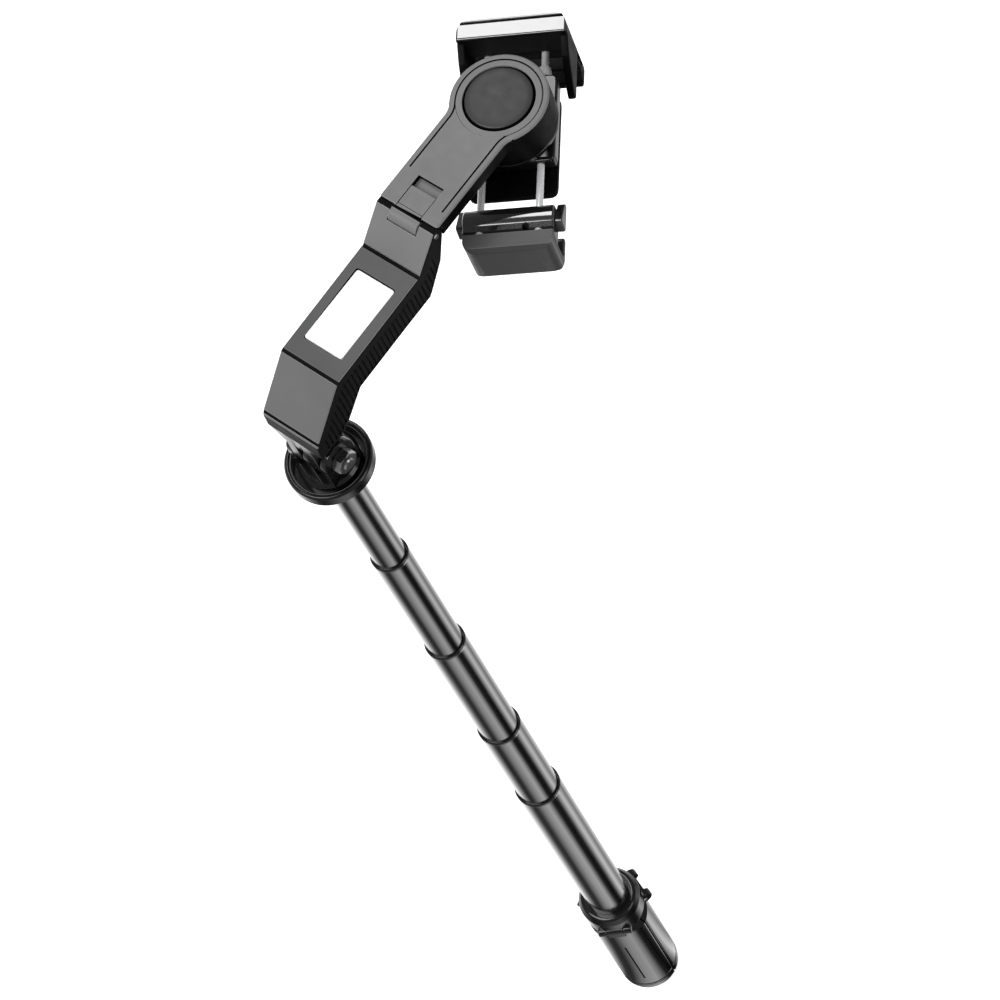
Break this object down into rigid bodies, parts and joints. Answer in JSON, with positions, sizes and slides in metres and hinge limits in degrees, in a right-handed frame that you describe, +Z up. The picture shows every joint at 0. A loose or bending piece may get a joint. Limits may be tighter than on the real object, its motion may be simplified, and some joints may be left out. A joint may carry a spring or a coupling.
{
  "type": "phone camera gimbal",
  "caption": "Folding single-axis phone gimbal: sprung clamp and motor on a cranked arm, tilting on a telescopic pole whose handle splits into tripod legs.",
  "frame": {"origin": "centre of the handle's flat base, on the pole's axis", "axes": "+Z up the pole from the handle to the head, +X along the hinge pins, +Y the way the folding arm reaches"},
  "size_m": [0.0765, 0.1807, 0.6385],
  "materials": {
    "black_gloss": "gloss moulded",
    "grey_shell": "satin painted",
    "tube_metal": "dark anodised, polished",
    "steel": "polished",
    "rubber": "matte",
    "white_panel": "gloss",
    "copper": "wound and wrapped, hidden inside"
  },
  "bodies": {
    "handle": {"leg_hub": "black_gloss", "base_plug": "black_gloss", "tube_a": "tube_metal", "tube_a_mouth": "black_gloss", "leg_1_pin": "steel", "leg_2_pin": "steel", "leg_3_pin": "steel"},
    "leg_1": {"leg_1": "black_gloss", "leg_1_foot": "rubber"},
    "leg_2": {"leg_2": "black_gloss", "leg_2_foot": "rubber"},
    "leg_3": {"leg_3": "black_gloss", "leg_3_foot": "rubber"},
    "tube_b": {"tube_b": "tube_metal", "tube_b_mouth": "black_gloss", "tube_b_glide": "rubber"},
    "tube_c": {"tube_c": "tube_metal", "tube_c_mouth": "black_gloss", "tube_c_glide": "rubber"},
    "tube_d": {"tube_d": "tube_metal", "tube_d_mouth": "black_gloss", "tube_d_glide": "rubber"},
    "tube_e": {"tube_e": "tube_metal", "tube_e_glide": "rubber", "pole_cap": "black_gloss"},
    "head": {"swivel_cup": "black_gloss", "cup_trim": "steel", "tilt_clevis": "black_gloss", "tilt_bolt": "steel", "tilt_nut": "steel"},
    "lower_arm": {"lower_arm": "grey_shell", "window_panel": "white_panel", "battery_cell": "copper", "fold_pin": "steel"},
    "upper_arm": {"upper_arm": "grey_shell", "motor_trim": "steel", "motor_cap": "grey_shell", "motor_stator": "copper"},
    "latch": {"latch_slider": "grey_shell"},
    "clamp": {"motor_rotor": "steel", "clamp_body": "black_gloss", "back_plate": "black_gloss", "back_pad": "rubber", "upper_bush_left": "white_panel", "upper_bush_right": "white_panel", "lower_bush_left": "white_panel", "lower_bush_right": "white_panel"},
    "upper_jaw": {"upper_jaw": "black_gloss", "upper_jaw_pad": "rubber", "upper_rod_left": "steel", "upper_rod_right": "steel"},
    "lower_jaw": {"lower_jaw": "black_gloss", "lower_jaw_pad": "rubber", "lower_rod_left": "steel", "lower_rod_right": "steel"}
  },
  "joints": [
    {"name": "leg_1_fold", "type": "hinge", "parent": "handle", "child": "leg_1", "pos_m": [0.0043, 0.01248, 0.09], "axis": [0.9455, -0.3256, 0], "range_deg": [0, 62]},
    {"name": "leg_2_fold", "type": "hinge", "parent": "handle", "child": "leg_2", "pos_m": [-0.01296, -0.00252, 0.09], "axis": [-0.1908, 0.9816, 0], "range_deg": [0, 62]},
    {"name": "leg_3_fold", "type": "hinge", "parent": "handle", "child": "leg_3", "pos_m": [0.00866, -0.00996, 0.09], "axis": [-0.7547, -0.6561, 0], "range_deg": [0, 62]},
    {"name": "tube_b_slide", "type": "slide", "parent": "handle", "child": "tube_b", "axis": [0, 0, 1], "range_m": [-0.068, 0]},
    {"name": "tube_c_slide", "type": "slide", "parent": "tube_b", "child": "tube_c", "axis": [0, 0, 1], "range_m": [-0.084, 0]},
    {"name": "tube_d_slide", "type": "slide", "parent": "tube_c", "child": "tube_d", "axis": [0, 0, 1], "range_m": [-0.076, 0]},
    {"name": "tube_e_slide", "type": "slide", "parent": "tube_d", "child": "tube_e", "axis": [0, 0, 1], "range_m": [-0.065, 0]},
    {"name": "head_pan", "type": "hinge", "parent": "tube_e", "child": "head", "pos_m": [0, 0, 0.57], "axis": [0, 0, 1], "continuous": true},
    {"name": "head_tilt", "type": "hinge", "parent": "head", "child": "lower_arm", "pos_m": [0, 0, 0.586], "axis": [1, 0, 0], "range_deg": [-85, 60]},
    {"name": "arm_fold", "type": "hinge", "parent": "lower_arm", "child": "upper_arm", "pos_m": [0, 0.0689, 0.6344], "axis": [1, 0, 0], "range_deg": [0, 105]},
    {"name": "latch_slide", "type": "slide", "parent": "upper_arm", "child": "latch", "axis": [0, 1, 0], "range_m": [0, 0.0038], "stiffness_N_per_m": 150, "springref_m": -0.002},
    {"name": "motor_roll", "type": "hinge", "parent": "upper_arm", "child": "clamp", "pos_m": [0, 0.1198, 0.6185], "axis": [0, 0, 1], "range_deg": [-120, 95]},
    {"name": "upper_jaw_slide", "type": "slide", "parent": "clamp", "child": "upper_jaw", "axis": [-0.5821, 0.8131, 0], "range_m": [-0.005, 0.007]},
    {"name": "lower_jaw_slide", "type": "slide", "parent": "clamp", "child": "lower_jaw", "axis": [0.5821, -0.8131, 0], "range_m": [-0.005, 0.007]}
  ],
  "couplings": [
    {"joint": "lower_jaw_slide", "follows": "upper_jaw_slide", "ratio": 1}
  ]
}
